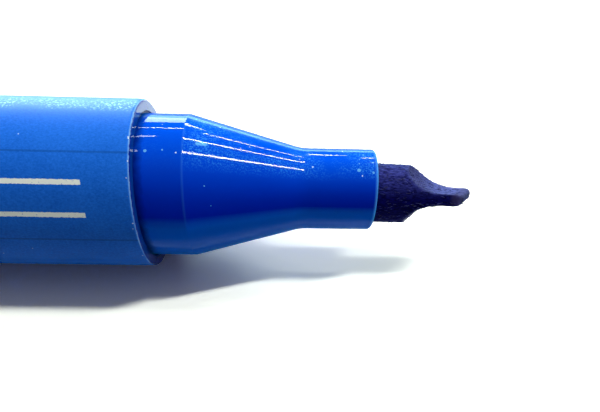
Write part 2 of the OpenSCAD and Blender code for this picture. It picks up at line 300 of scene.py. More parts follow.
# %% Barrel: printed stripes
STRIPE_MIDDLE = -36.0
STRIPE_HALF = 32.2
STRIPES = ((1.3, 0.4), (-1.3, 0.4))
WAVER = 0.14
PINHOLE_FROM = 0.28
PINHOLE_TO = 0.36
reach, wavering = [
    add(tree, "ShaderNodeMath", {0: grain, 1: WAVER, 2: axis}, operation="MULTIPLY_ADD").outputs[0]
    for axis in (along, height)
]
reach = add(tree, "ShaderNodeMath", {
    0: reach,
    1: STRIPE_MIDDLE,
    2: STRIPE_HALF,
}, operation="COMPARE").outputs[0]
lines = [
    add(tree, "ShaderNodeMath", {
        0: wavering,
        1: middle + WAVER / 2,
        2: width / 2,
    }, operation="COMPARE").outputs[0]
    for middle, width in STRIPES
]
ink = add(tree, "ShaderNodeMath", {0: lines[0], 1: lines[1]}, operation="MAXIMUM").outputs[0]
pinholes = add(tree, "ShaderNodeMapRange", {
    "Value": grain,
    "From Min": PINHOLE_FROM,
    "From Max": PINHOLE_TO,
}).outputs[0]
for share in (reach, front, pinholes):
    ink = add(tree, "ShaderNodeMath", {0: ink, 1: share}, operation="MULTIPLY").outputs[0]
blue = add(tree, "ShaderNodeMix", {0: ink, 6: blue, 7: linear("ECF0F0")}, data_type="RGBA").outputs[2]
print("printed stripes, place and width in mm", STRIPES)

# %% [markdown]
# The rim of the mouth is where the cap rubs: a pale line on the round, broken by whiter nicks. The
# pale line is partly that wear and partly a painted highlight on the rounded edge. It could be cut
# out as faces of its own; a mask along the pen gives it a soft start instead.

# %% Barrel: worn rim and painted highlight
RIM_BACK = -0.14
RIM_FADE = 0.06
RIM_SCUFF = 1.1
RIM_SCUFF_FROM = 0.3
RIM_SCUFF_TO = 0.75
RIM_LEAST = 0.25
NICK = 0.35
NICK_FROM = 0.66
NICK_TO = 0.7
NICK_REACH = 0.2
rim = add(tree, "ShaderNodeMapRange", {
    "Value": along,
    "From Min": RIM_BACK,
    "From Max": RIM_BACK + RIM_FADE,
}).outputs[0]
scuff = add(tree, "ShaderNodeTexNoise", {
    "Vector": point,
    "Scale": 1 / RIM_SCUFF,
    "Detail": 5.0,
    "Roughness": 0.7,
}).outputs[0]
scuff = add(tree, "ShaderNodeMapRange", {
    "Value": scuff,
    "From Min": RIM_SCUFF_FROM,
    "From Max": RIM_SCUFF_TO,
    "To Min": RIM_LEAST,
}).outputs[0]
rim = add(tree, "ShaderNodeMath", {0: rim, 1: scuff}, operation="MULTIPLY").outputs[0]
# Painted highlight on the rounded rim, together with its wear
blue = add(tree, "ShaderNodeMix", {0: rim, 6: blue, 7: linear("7FB2F2")}, data_type="RGBA").outputs[2]
nicks = add(tree, "ShaderNodeTexNoise", {"Vector": point, "Scale": 1 / NICK, "Detail": 2.0}).outputs[0]
nicks = add(tree, "ShaderNodeMapRange", {
    "Value": nicks,
    "From Min": NICK_FROM,
    "From Max": NICK_TO,
}).outputs[0]
near_rim = add(tree, "ShaderNodeMapRange", {
    "Value": along,
    "From Min": RIM_BACK - NICK_REACH,
    "From Max": RIM_BACK,
}).outputs[0]
nicks = add(tree, "ShaderNodeMath", {0: nicks, 1: near_rim}, operation="MULTIPLY").outputs[0]
blue = add(tree, "ShaderNodeMix", {0: nicks, 6: blue, 7: linear("D5E3F4")}, data_type="RGBA").outputs[2]
print("rim", RIM_FADE, "mm wide, nicks of", NICK, "mm")

# %% [markdown]
# The end face at the mouth was shut off against polished steel, so it is dark and smooth, and it
# mirrors the table above and the collar below. A clear coat gives that gloss, on the end face
# alone. Everywhere else the grain makes the roughness and the bump.

# %% Barrel: end face and grain
FACE_X = -0.06
FACE_ROUGHNESS = 0.05
FACE_COAT = 0.5
SMOOTHEST = 0.38
ROUGHEST = 0.6
GRIT_STRENGTH = 0.3
GRIT_DEPTH = 0.03 * MM
end_face = add(tree, "ShaderNodeMapRange", {
    "Value": along,
    "From Min": FACE_X,
    "From Max": FACE_X / 2,
}).outputs[0]
blue = add(tree, "ShaderNodeMix", {0: end_face, 6: blue, 7: linear("00128C")}, data_type="RGBA").outputs[2]
matte = add(tree, "ShaderNodeMapRange", {"Value": grain, "To Min": SMOOTHEST, "To Max": ROUGHEST}).outputs[0]
matte = add(tree, "ShaderNodeMix", {0: end_face, 2: matte, 3: FACE_ROUGHNESS}, data_type="FLOAT").outputs[0]
grit = add(tree, "ShaderNodeMath", {0: 1.0, 1: end_face}, operation="SUBTRACT").outputs[0]
grit = add(tree, "ShaderNodeMath", {0: grain, 1: grit}, operation="MULTIPLY").outputs[0]
grit = add(tree, "ShaderNodeBump", {"Height": grit, "Strength": GRIT_STRENGTH, "Distance": GRIT_DEPTH})
skin = add(tree, "ShaderNodeMapRange", {"Value": end_face, "To Max": FACE_COAT}).outputs[0]
tree.links.new(blue, shader.inputs["Base Color"])
tree.links.new(matte, shader.inputs["Roughness"])
tree.links.new(skin, shader.inputs["Coat Weight"])
tree.links.new(grit.outputs[0], shader.inputs["Normal"])
dress(nodes["barrel"], barrel_plastic)
print(barrel_plastic.name, len(tree.nodes), "nodes")

# %% [markdown]
# The front section, the tail plug and the cap come from polished moulds in a deeper blue. Dust
# and fingers mark each side of them differently, and on some sides light and reflections are
# painted into the colour. So their masks need to know which way the round of the pen faces. The
# surface normal would say it, but it also follows every small step and edge; a point's place round
# the axis changes evenly.

# %% Gloss: which way the round faces
UP_IN_PEN = (0, -math.sin(PEN_ROLL), math.cos(PEN_ROLL))


def facing(tree, point, way):
    """How straight the round faces a way, from 1 to -1, and the point's distance from the axis."""
    rise = add(tree, "ShaderNodeVectorMath", {0: point, 1: way}, operation="DOT_PRODUCT").outputs["Value"]
    spoke = add(tree, "ShaderNodeVectorMath", {0: point, 1: (0, 1, 1)}, operation="MULTIPLY").outputs[0]
    spoke = add(tree, "ShaderNodeVectorMath", {0: spoke}, operation="LENGTH").outputs["Value"]
    share = add(tree, "ShaderNodeMath", {0: rise, 1: spoke}, operation="DIVIDE").outputs[0]
    return share, spoke


print("up, in pen coordinates", [round(value, 3) for value in UP_IN_PEN])

# %% [markdown]
# A film of fine dust lies on the gloss. In patches on the upper side a pale speckled haze is
# painted, partly that dust and partly a painted highlight of the lamps' light that it catches, but
# not on the collar, which the cap wipes. The dust could be loose grains; as it has no height, a
# mask in the material does.

# %% Gloss: haze of dust and painted highlight
GLOSS_DUST_SPACING = 1.6
GLOSS_DUST_SIZE = 0.075
COLLAR_LENGTH = 3.9
HAZE_FROM = 0.82
HAZE_TO = 0.95
VEIL = 0.5
VEIL_WIPED = 0.05
# Sizes in mm and the range of the noise that counts. Real speckle is about 0.05 mm; it is drawn
# at 0.13 mm, so that it shows
PATCHES = (3.0, 0.32, 0.56)
SPECKLE = (0.13, 0.48, 0.64)


def hazed(tree, point, along, upward, blue):
    """The blue under specks and a haze of dust and painted highlight, which needs the upper side."""
    specks = dust(tree, point, GLOSS_DUST_SPACING, GLOSS_DUST_SIZE)
    blue = add(tree, "ShaderNodeMix", {0: specks, 6: blue, 7: linear("C4DCFA")}, data_type="RGBA").outputs[2]
    haze = add(tree, "ShaderNodeMapRange", {
        "Value": upward,
        "From Min": HAZE_FROM,
        "From Max": HAZE_TO,
    }).outputs[0]
    for size, low, high in (PATCHES, SPECKLE):
        cloud = add(tree, "ShaderNodeTexNoise", {
            "Vector": point,
            "Scale": 1 / size,
            "Detail": 2.0,
        }).outputs[0]
        cloud = add(tree, "ShaderNodeMapRange", {
            "Value": cloud,
            "From Min": low,
            "From Max": high,
        }).outputs[0]
        haze = add(tree, "ShaderNodeMath", {0: haze, 1: cloud}, operation="MULTIPLY").outputs[0]
    wiped = add(tree, "ShaderNodeMath", {
        0: along,
        1: COLLAR_LENGTH / 2,
        2: COLLAR_LENGTH / 2,
    }, operation="COMPARE").outputs[0]
    veil = add(tree, "ShaderNodeMapRange", {"Value": wiped, "To Min": VEIL, "To Max": VEIL_WIPED}).outputs[0]
    veil = add(tree, "ShaderNodeMath", {0: haze, 1: veil}, operation="MULTIPLY").outputs[0]
    # Painted highlight and dust: the pale azure haze
    return add(tree, "ShaderNodeMix", {0: veil, 6: blue, 7: linear("3C9CF2")}, data_type="RGBA").outputs[2]


print("haze in patches of", PATCHES[0], "mm, speckle of", SPECKLE[0], "mm")

# %% [markdown]
# Polished polypropylene shows lamps as sharp lines, which a thin clear coat gives, and the film of
# dust shines at the edge of the round, which is a sheen. The upper side is painted lighter, from
# deep blue towards azure: painted light for the lamps above, mixed with a random marbling. The flat
# ends of the tail plug and the cap count as facing sideways, whatever their place round the axis.

# %% Gloss: polished deep blue
COAT = 0.27
SIDEWAYS = 0.3
FLAT_R = 6.1
FLAT_FADE = 0.2
MARBLING = 5.0
UPPER_LIGHT_FROM = 0.2
UPPER_LIGHT_POWER = 2.0
MARBLED = 0.12
SATIN = (0.36, 0.48)


def polished_plastic(name, flat_r):
    """Polished blue polypropylene; inside flat_r there are flat ends, which face sideways."""
    material, tree, shader = new_material(
        name,
        IOR=1.5,
        Specular_IOR_Level=0.0,
        Coat_Weight=COAT,
        Coat_Roughness=0.03,
        Coat_IOR=1.5,
        Sheen_Weight=0.5,
        Sheen_Roughness=0.36,
        Sheen_Tint=linear("18D0FF"),
    )
    point, axes = pen_millimetres(tree)
    upward, spoke = facing(tree, point, UP_IN_PEN)
    flat = add(tree, "ShaderNodeMapRange", {
        "Value": spoke,
        "From Min": flat_r + FLAT_FADE,
        "From Max": flat_r,
    }).outputs[0]
    upward = add(tree, "ShaderNodeMix", {0: flat, 2: upward, 3: SIDEWAYS}, data_type="FLOAT").outputs[0]
    depth = add(tree, "ShaderNodeTexNoise", {
        "Vector": point,
        "Scale": 1 / MARBLING,
        "Detail": 2.0,
    }).outputs[0]
    # Painted light: the upper side goes from deep blue towards azure
    painted_upper_light = add(tree, "ShaderNodeMapRange", {"Value": upward, "From Min": UPPER_LIGHT_FROM}).outputs[0]
    painted_upper_light = add(tree, "ShaderNodeMath", {0: painted_upper_light, 1: UPPER_LIGHT_POWER}, operation="POWER").outputs[0]
    painted_upper_light = add(tree, "ShaderNodeMix", {0: MARBLED, 2: painted_upper_light, 3: depth}, data_type="FLOAT").outputs[0]
    blue = add(tree, "ShaderNodeMix", {
        0: painted_upper_light,
        6: linear("0012B6"),
        7: linear("0048D4"),
    }, data_type="RGBA").outputs[2]
    blue = hazed(tree, point, axes[0], upward, blue)
    satin = add(tree, "ShaderNodeMapRange", {
        "Value": depth,
        "To Min": SATIN[0],
        "To Max": SATIN[1],
    }).outputs[0]
    tree.links.new(satin, shader.inputs["Roughness"])
    return material, tree, shader, blue


gloss_plastic, tree, shader, blue = polished_plastic("polypropylene_polished", FLAT_R)
tree.links.new(blue, shader.inputs["Base Color"])
for name in ("tail_plug", "cap_shell"):
    dress(nodes[name], gloss_plastic)
print(gloss_plastic.name, len(tree.nodes), "nodes")

# %% [markdown]
# The front section wears where things touch it. Low on the front, where fingers hold it, the clear
# coat first thins out to a dull edge and then comes back as a greasy shine in the middle. That
# band is also painted lighter: a painted reflection of the paper below.

# %% Front section: held side and painted reflection
LOWER_FRONT_ANGLE = math.radians(110.0)
LOWER_FRONT_WAY = (0, -math.sin(PEN_ROLL + LOWER_FRONT_ANGLE), math.cos(PEN_ROLL + LOWER_FRONT_ANGLE))
REFLECTION_BAND_FROM = 0.766
REFLECTION_BAND_TO = 0.862
DULL_FROM = 0.66
DULL_TO = 0.78
DULL_COAT = 0.1 * COAT
GREASE_FROM = 0.935
GREASE_TO = 0.985
GREASE_COAT = 0.27
front_plastic, tree, shader, blue = polished_plastic("polypropylene_polished_worn_and_painted_light", 0.0)
point, axes = pen_millimetres(tree)
along = axes[0]
lower_front_way = facing(tree, point, LOWER_FRONT_WAY)[0]
painted_paper_reflection = add(tree, "ShaderNodeMapRange", {
    "Value": lower_front_way,
    "From Min": REFLECTION_BAND_FROM,
    "From Max": REFLECTION_BAND_TO,
}).outputs[0]
# Painted reflection of the paper: the band low on the front is lighter
blue = add(tree, "ShaderNodeMix", {0: painted_paper_reflection, 6: blue, 7: linear("005AE0")}, data_type="RGBA").outputs[2]
dulled = add(tree, "ShaderNodeMapRange", {
    "Value": lower_front_way,
    "From Min": DULL_FROM,
    "From Max": DULL_TO,
    "To Min": COAT,
    "To Max": DULL_COAT,
}).outputs[0]
greased = add(tree, "ShaderNodeMapRange", {
    "Value": lower_front_way,
    "From Min": GREASE_FROM,
    "From Max": GREASE_TO,
    "To Max": GREASE_COAT,
}).outputs[0]
coat = add(tree, "ShaderNodeMath", {0: dulled, 1: greased}, operation="ADD").outputs[0]
tree.links.new(coat, shader.inputs["Coat Weight"])
print("held side, degrees from the top", round(math.degrees(LOWER_FRONT_ANGLE)))

# %% [markdown]
# The corner between collar and cone and the lip of the neck are painted a lighter blue, partly
# worn by rubbing and partly a painted highlight on these edges. In the corner by the barrel's mouth
# a dark ring with a ragged edge is painted shade of that corner, with dried ink gathered in it. All
# three are rings round the pen, so a place along the pen is enough to mask them.

# %% Front section: worn and highlighted corners, painted shade and ink ring
CREASE_HALF = 0.16
CREASE_SHARE = 0.1
LIP_X = 20.35
LIP_FADE = 0.3
LIP_SHARE = 0.55
RING_SHADE_AND_INK = 0.75
RING_SHADE_AND_INK_FADE = 0.35
RING_SHADE_AND_INK_SHARE = 0.85
RAGS = 0.8
crease = add(tree, "ShaderNodeMath", {0: along, 1: COLLAR_LENGTH}, operation="SUBTRACT").outputs[0]
crease = add(tree, "ShaderNodeMath", {0: crease}, operation="ABSOLUTE").outputs[0]
crease = add(tree, "ShaderNodeMapRange", {
    "Value": crease,
    "From Min": CREASE_HALF,
    "From Max": 0.0,
    "To Max": CREASE_SHARE,
}).outputs[0]
off_painted_reflection = add(tree, "ShaderNodeMapRange", {"Value": painted_paper_reflection, "To Min": 1.0, "To Max": 0.0}).outputs[0]
crease = add(tree, "ShaderNodeMath", {0: crease, 1: off_painted_reflection}, operation="MULTIPLY").outputs[0]
lip = add(tree, "ShaderNodeMapRange", {
    "Value": along,
    "From Min": LIP_X,
    "From Max": LIP_X + LIP_FADE,
    "To Max": LIP_SHARE,
}).outputs[0]
rubbed_and_highlighted = add(tree, "ShaderNodeMath", {0: crease, 1: lip}, operation="MAXIMUM").outputs[0]
# Painted highlight on the corner and the lip, with their wear
blue = add(tree, "ShaderNodeMix", {0: rubbed_and_highlighted, 6: blue, 7: linear("4FA6F6")}, data_type="RGBA").outputs[2]
ragged = add(tree, "ShaderNodeTexNoise", {"Vector": point, "Scale": 1 / RAGS, "Detail": 4.0}).outputs[0]
ring_shade_and_ink = add(tree, "ShaderNodeMath", {
    0: ragged,
    1: RING_SHADE_AND_INK,
    2: along,
}, operation="MULTIPLY_ADD").outputs[0]
ring_shade_and_ink = add(tree, "ShaderNodeMapRange", {
    "Value": ring_shade_and_ink,
    "From Min": RING_SHADE_AND_INK + RING_SHADE_AND_INK_FADE,
    "From Max": RING_SHADE_AND_INK - RING_SHADE_AND_INK_FADE,
    "To Max": RING_SHADE_AND_INK_SHARE,
}).outputs[0]
# Painted shade in the corner by the barrel's mouth, with dried ink
blue = add(tree, "ShaderNodeMix", {0: ring_shade_and_ink, 6: blue, 7: linear("000C66")}, data_type="RGBA").outputs[2]
print("crease at", COLLAR_LENGTH, "mm, lip at", LIP_X, "mm, ink ring", RING_SHADE_AND_INK, "mm")

# %% [markdown]
# A few drops have dried to pale spots on the upper side. Random specks would not gather as these
# do, so each drop has a place along and round the pen, and the radius there follows from the
# collar, cone and neck. A fine noise makes their outlines uneven.

# %% Front section: dried drops
COLLAR_R = 6.35
NECK_R = 3.68
CONE_LENGTH = 10.0
# Each drop: place along the pen in mm, angle from straight up to the front in degrees, size in mm
DROPS = (
    (5.05, 11, 0.2),
    (5.35, 10, 0.3),
    (5.65, 10, 0.22),
    (4.85, -7, 0.08),
    (0.9, 20, 0.15),
    (2.3, 19, 0.08),
    (5.65, 45, 0.07),
    (6.1, 61, 0.06),
    (19.0, 0, 0.07),
    (18.95, 8, 0.07),
    (18.9, 19, 0.18),
    (19.4, -10, 0.12),
    (20.2, 6, 0.11),
    (20.2, 22, 0.12),
)
DROP_OUTER = 1.5
DROP_INNER = 1.2
DROP_SHARE = 0.6
UNEVENNESS = 0.15
uneven = add(tree, "ShaderNodeTexNoise", {
    "Vector": point,
    "Scale": 1 / UNEVENNESS,
    "Detail": 3.0,
}).outputs[0]
for x, angle, size in DROPS:
    down_cone = min(max((x - COLLAR_LENGTH) / CONE_LENGTH, 0.0), 1.0)
    radius = COLLAR_R + (NECK_R - COLLAR_R) * down_cone
    turned = PEN_ROLL + math.radians(angle)
    spot = (x, -radius * math.sin(turned), radius * math.cos(turned))
    gap = add(tree, "ShaderNodeVectorMath", {0: point, 1: spot}, operation="DISTANCE").outputs["Value"]
    gap = add(tree, "ShaderNodeMath", {0: uneven, 1: size, 2: gap}, operation="MULTIPLY_ADD").outputs[0]
    drop = add(tree, "ShaderNodeMapRange", {
        "Value": gap,
        "From Min": DROP_OUTER * size,
        "From Max": DROP_INNER * size,
        "To Max": DROP_SHARE,
    }).outputs[0]
    blue = add(tree, "ShaderNodeMix", {0: drop, 6: blue, 7: linear("6CBCF4")}, data_type="RGBA").outputs[2]
tree.links.new(blue, shader.inputs["Base Color"])
dress(nodes["front_section"], front_plastic)
print(front_plastic.name, len(DROPS), "drops,", len(tree.nodes), "nodes")

# %% [markdown]
# The nib is a rod of bonded polyester felt, soaked with ink and ground to a slanted chisel. The
# CAD solid has clean ground faces; felt is softer than that. A copy of it is remeshed into even
# small faces, and a few turns of smoothing relax its edges.

# %% Felt nib: even faces
MERGE = 0.001 * MM
VOXEL = 0.115 * MM
RELAX_FACTOR = 0.5
RELAX_TURNS = 3


def evaluated_mesh(piece):
    """A plain mesh of what a piece's modifiers make, which are then removed."""
    seen = piece.evaluated_get(bpy.context.evaluated_depsgraph_get())
    mesh = bpy.data.meshes.new_from_object(seen)
    piece.modifiers.clear()
    return mesh


nib = bpy.data.objects.new("felt_nib", nodes["chisel_nib"].data.copy())
scene.collection.objects.link(nib)
merged = bmesh.new()
merged.from_mesh(nib.data)
bmesh.ops.remove_doubles(merged, verts=merged.verts, dist=MERGE)
merged.to_mesh(nib.data)
merged.free()
voxels = nib.modifiers.new("voxels", "REMESH")
voxels.mode = "VOXEL"
voxels.voxel_size = VOXEL
relaxed = nib.modifiers.new("relaxed", "SMOOTH")
relaxed.factor = RELAX_FACTOR
relaxed.iterations = RELAX_TURNS
nib.data = evaluated_mesh(nib)
print("felt nib", len(nib.data.polygons), "faces")

# %% [markdown]
# The felt's material will need two things that only the mesh knows: how deep a point lies under
# the round of the rod, which tells the ground faces, and how far it stands out from its
# neighbours, which tells the edges, where wear starts and a highlight is painted. Both become
# attributes of the points.

# %% Felt nib: ground faces and edges
NIB_R = 2.65 * MM
GROUND_DEPTH = 0.15 * MM
EVENING = 3
normals = [vertex.normal.copy() for vertex in nib.data.vertices]
depths = [NIB_R - math.hypot(vertex.co.y, vertex.co.z) for vertex in nib.data.vertices]
ground = nib.data.attributes.new("ground", "FLOAT", "POINT")
ground.data.foreach_set("value", [min(max(depth / GROUND_DEPTH, 0.0), 1.0) for depth in depths])
links = [tuple(edge.vertices) for edge in nib.data.edges]
count = [0] * len(depths)
beside = [Vector() for _ in depths]
for a, b in links:
    for here, there in ((a, b), (b, a)):
        beside[here] += nib.data.vertices[there].co
        count[here] += 1
stands = [
    (vertex.co - total / number).dot(normal) / VOXEL
    for vertex, normal, total, number in zip(nib.data.vertices, normals, beside, count)
]
for _ in range(EVENING):
    total = list(stands)
    for a, b in links:
        total[a] += stands[b]
        total[b] += stands[a]
    stands = [value / (number + 1) for value, number in zip(total, count)]
edge_standing_out = nib.data.attributes.new("edge_standing_out", "FLOAT", "POINT")
edge_standing_out.data.foreach_set("value", stands)
print("standing out, in voxels", round(min(stands), 3), "to", round(max(stands), 3))

# %% [markdown]
# A noise that is stretched along the pen roughens the felt, as the fibres run that way. Writing
# has also pushed the nib a little to one side in its hole: it starts straight, leaves the neck
# aside and slanted, and a cubic joins the two without a kink. No point leaves the neck's hole or
# the CAD model's box.

# %% Felt nib: roughened and bent
NECK_MOUTH = 20.7 * MM
HOLE_R = 2.74 * MM
BEND_START = 14.0 * MM
BEND_SHIFT = 0.22 * MM
BEND_SLOPE = math.tan(math.radians(1.6))
BEND_WAY = Vector((0, -0.695, -0.719))
FELT_SHRINK = 0.015 * MM
STREAK = Vector((1 / (0.6 * MM), 1 / (0.2 * MM), 1 / (0.2 * MM)))
STREAK_HEIGHT = 0.045 * MM
STREAK_OCTAVES = 3


def bend_of_nib(x):
    """How far the nib has been pushed aside at a place along the pen."""
    if x < BEND_START:
        return 0.0
    if x > NECK_MOUTH:
        return BEND_SHIFT + BEND_SLOPE * (x - NECK_MOUTH)
    run = NECK_MOUTH - BEND_START
    t = (x - BEND_START) / run
    cubic = BEND_SLOPE * run - 2 * BEND_SHIFT
    return cubic * t ** 3 + (BEND_SHIFT - cubic) * t ** 2


for vertex, normal in zip(nib.data.vertices, normals):
    streak = noise.fractal(vertex.co * STREAK, 1.0, 2.0, STREAK_OCTAVES)
    roughened = vertex.co + normal * (STREAK_HEIGHT * streak - FELT_SHRINK)
    moved = roughened + BEND_WAY * bend_of_nib(vertex.co.x)
    moved.x = min(moved.x, cad_box[1][0])
    radius = math.hypot(moved.y, moved.z)
    if moved.x < NECK_MOUTH and radius > HOLE_R:
        moved.y *= HOLE_R / radius
        moved.z *= HOLE_R / radius
    vertex.co = moved
nib.data.polygons.foreach_set("use_smooth", [True] * len(nib.data.polygons))
print("nib pushed aside at the neck", round(bend_of_nib(NECK_MOUTH) / MM, 2), "mm")

# %% [markdown]
# Ink leaves the felt almost black where one looks straight at it. Seen along the surface the
# fibres shine indigo to lavender, which is what a sheen lobe does. The upper side is painted
# lighter, a painted highlight of the light from above and behind. The finest streaks sit in colour
# and bump, as they are finer than the mesh.

# %% Felt: inked strands
# Fibres of about 0.03 mm, drawn at 0.13 mm across and three times as long, so that they show
STRAND_LONG = 0.4
STRAND_ACROSS = 0.13
PILE_FROM = 0.35
PILE_TO = 0.68
FELT_TOP_LIGHT_FROM = 1.3
FELT_TOP_LIGHT_TO = 2.7
felt, tree, shader = new_material(
    "polyester_felt_ink_soaked",
    Specular_IOR_Level=0.1,
    Specular_Tint=linear("6070FF"),
    Roughness=0.8,
    Sheen_Weight=0.5,
    Sheen_Roughness=0.2,
    Sheen_Tint=linear("6474FF"),
)
point, (along, across, _) = pen_millimetres(tree)
lengthwise = add(tree, "ShaderNodeMapping", {
    "Vector": point,
    "Scale": (1 / STRAND_LONG, 1 / STRAND_ACROSS, 1 / STRAND_ACROSS),
}).outputs[0]
strands = add(tree, "ShaderNodeTexNoise", {
    "Vector": lengthwise,
    "Scale": 1.0,
    "Detail": 4.0,
    "Roughness": 0.65,
}).outputs[0]
pile = add(tree, "ShaderNodeMapRange", {
    "Value": strands,
    "From Min": PILE_FROM,
    "From Max": PILE_TO,
}).outputs[0]
indigo = add(tree, "ShaderNodeMix", {
    0: pile,
    6: linear("00002C"),
    7: linear("0A0862"),
}, data_type="RGBA").outputs[2]
rise = add(tree, "ShaderNodeVectorMath", {
    0: point,
    1: UP_IN_PEN,
}, operation="DOT_PRODUCT").outputs["Value"]
painted_felt_top_light = add(tree, "ShaderNodeMapRange", {"Value": rise, "From Min": FELT_TOP_LIGHT_FROM, "From Max": FELT_TOP_LIGHT_TO}).outputs[0]
painted_felt_top_light = add(tree, "ShaderNodeMath", {0: painted_felt_top_light, 1: pile}, operation="MULTIPLY").outputs[0]
# Painted highlight: the upper side of the felt is lighter
indigo = add(tree, "ShaderNodeMix", {0: painted_felt_top_light, 6: indigo, 7: linear("3C4290")}, data_type="RGBA").outputs[2]
print(felt.name, "strands", STRAND_ACROSS, "mm across")

# %% [markdown]
# On the ground faces the fibres are cut, and their dry ends are greyer, most of all on the thin
# blade. The face below is painted a pale grey, a painted reflection of the paper under it. The
# mesh's first attribute says where those faces are, and a noise makes them patchy.

# %% Felt: ground faces
END_SIZE = 0.5
END_FROM = 0.35
END_TO = 0.65
BLADE_FROM = 25.0
BLADE_TO = 27.5
BLADE_SHARE = 0.6
UNDER_FROM = -0.8
UNDER_TO = -1.4
ends = add(tree, "ShaderNodeTexNoise", {
    "Vector": point,
    "Scale": 1 / END_SIZE,
    "Detail": 5.0,
    "Roughness": 0.75,
}).outputs[0]
ends = add(tree, "ShaderNodeMapRange", {"Value": ends, "From Min": END_FROM, "From Max": END_TO}).outputs[0]
ends = add(tree, "ShaderNodeMix", {
    0: ends,
    6: linear("0C0A3C"),
    7: linear("3A3876"),
}, data_type="RGBA").outputs[2]
blade = add(tree, "ShaderNodeMapRange", {
    "Value": along,
    "From Min": BLADE_FROM,
    "From Max": BLADE_TO,
    "To Max": BLADE_SHARE,
}).outputs[0]
ends = add(tree, "ShaderNodeMix", {0: blade, 6: ends, 7: linear("4A5298")}, data_type="RGBA").outputs[2]
under = add(tree, "ShaderNodeMapRange", {
    "Value": rise,
    "From Min": UNDER_FROM,
    "From Max": UNDER_TO,
}).outputs[0]
# Painted reflection of the paper on the face below
ends = add(tree, "ShaderNodeMix", {0: under, 6: ends, 7: linear("9A98B4")}, data_type="RGBA").outputs[2]
cut = add(tree, "ShaderNodeAttribute", attribute_name="ground").outputs["Fac"]
indigo = add(tree, "ShaderNodeMix", {0: cut, 6: indigo, 7: ends}, data_type="RGBA").outputs[2]
print("cut ends in patches of", END_SIZE, "mm")

# %% [markdown]
# The edges are painted lighter, partly worn and partly a painted highlight, and the mesh's second
# attribute knows them. The writing edge runs aslant, and dirt from the paper darkens its end in
# two steps.

# %% Felt: worn and highlighted edges, soiled tip
EDGE_MARK_FROM = 0.03
EDGE_MARK_TO = 0.1
EDGE_MARK_SHARE = 0.8
NIB_SLANT = math.radians(28.0)
# Each step: from where to where along the pen, its share and its colour
SOILED = ((28.9, 29.3, 0.7, "34305A"), (29.85, 30.1, 0.8, "060C12"))
NAP_STRENGTH = 0.6
NAP_DEPTH = 0.06 * MM
edges = add(tree, "ShaderNodeAttribute", attribute_name="edge_standing_out").outputs["Fac"]
edges = add(tree, "ShaderNodeMapRange", {
    "Value": edges,
    "From Min": EDGE_MARK_FROM,
    "From Max": EDGE_MARK_TO,
    "To Max": EDGE_MARK_SHARE,
}).outputs[0]
# Painted highlight on the edges, with their wear
indigo = add(tree, "ShaderNodeMix", {0: edges, 6: indigo, 7: linear("545A9E")}, data_type="RGBA").outputs[2]
to_edge = add(tree, "ShaderNodeMath", {
    0: across,
    1: -math.tan(NIB_SLANT),
    2: along,
}, operation="MULTIPLY_ADD").outputs[0]
for start, end, share, colour in SOILED:
    dirt = add(tree, "ShaderNodeMapRange", {
        "Value": to_edge,
        "From Min": start,
        "From Max": end,
        "To Max": share,
    }).outputs[0]
    indigo = add(tree, "ShaderNodeMix", {0: dirt, 6: indigo, 7: linear(colour)}, data_type="RGBA").outputs[2]
nap = add(tree, "ShaderNodeBump", {"Height": strands, "Strength": NAP_STRENGTH, "Distance": NAP_DEPTH})
tree.links.new(indigo, shader.inputs["Base Color"])
tree.links.new(nap.outputs[0], shader.inputs["Normal"])
dress(nib, felt)
dress(nodes["chisel_nib"], felt)
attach(nib, "pen")
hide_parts("chisel_nib")
print(felt.name, len(tree.nodes), "nodes")

# %% [markdown]
# Loose fibre ends stand out of the felt and catch the light. They are single threads of the same
# inked polyester, some dark and some lighter, so a noise that is coarser than a thread gives each
# one its tint.

# %% Fibre ends: material
TINT_SIZE = 0.3
TINT_FROM = 0.4
TINT_TO = 0.7
loose_fibre, tree, shader = new_material(
    "polyester_fibre_inked",
    Specular_IOR_Level=0.3,
    Roughness=0.6,
    Sheen_Weight=0.2,
    Sheen_Roughness=0.3,
    Sheen_Tint=linear("6474FF"),
)
point = pen_millimetres(tree)[0]
tint = add(tree, "ShaderNodeTexNoise", {"Vector": point, "Scale": 1 / TINT_SIZE, "Detail": 2.0}).outputs[0]
tint = add(tree, "ShaderNodeMapRange", {
    "Value": tint,
    "From Min": TINT_FROM,
    "From Max": TINT_TO,
}).outputs[0]
tint = add(tree, "ShaderNodeMix", {
    0: tint,
    6: linear("06063A"),
    7: linear("343CA0"),
}, data_type="RGBA").outputs[2]
tree.links.new(tint, shader.inputs["Base Color"])
print(loose_fibre.name, len(tree.nodes), "nodes")

# %% [markdown]
# There are some six hundred fibre ends, so Geometry Nodes makes them. A particle hair system could
# do it too, but would not end as a plain mesh. The tree's inputs are its sizes. Its first half is
# one fibre: a thin bow along x with three sides, as more would not show on so thin a thing.

# %% Fibre ends: one fibre
FIBRE_BOW = 0.12
group = bpy.data.node_groups.new("scattered_fibres", "GeometryNodeTree")
group.interface.new_socket("Geometry", in_out="OUTPUT", socket_type="NodeSocketGeometry")
group.interface.new_socket("Geometry", in_out="INPUT", socket_type="NodeSocketGeometry")
sizes = {
    name: group.interface.new_socket(name, in_out="INPUT", socket_type="NodeSocketFloat").identifier
    for name in ("Density", "Length", "Radius")
}
entry = add(group, "NodeGroupInput").outputs
front_end, back_end, bow = [
    add(group, "ShaderNodeMath", {0: entry["Length"], 1: share}, operation="MULTIPLY").outputs[0]
    for share in (0.5, -0.5, FIBRE_BOW)
]
arc = add(group, "GeometryNodeCurveQuadraticBezier", {
    "Resolution": 4,
    "Start": add(group, "ShaderNodeCombineXYZ", {0: back_end}).outputs[0],
    "Middle": add(group, "ShaderNodeCombineXYZ", {2: bow}).outputs[0],
    "End": add(group, "ShaderNodeCombineXYZ", {0: front_end}).outputs[0],
}).outputs[0]
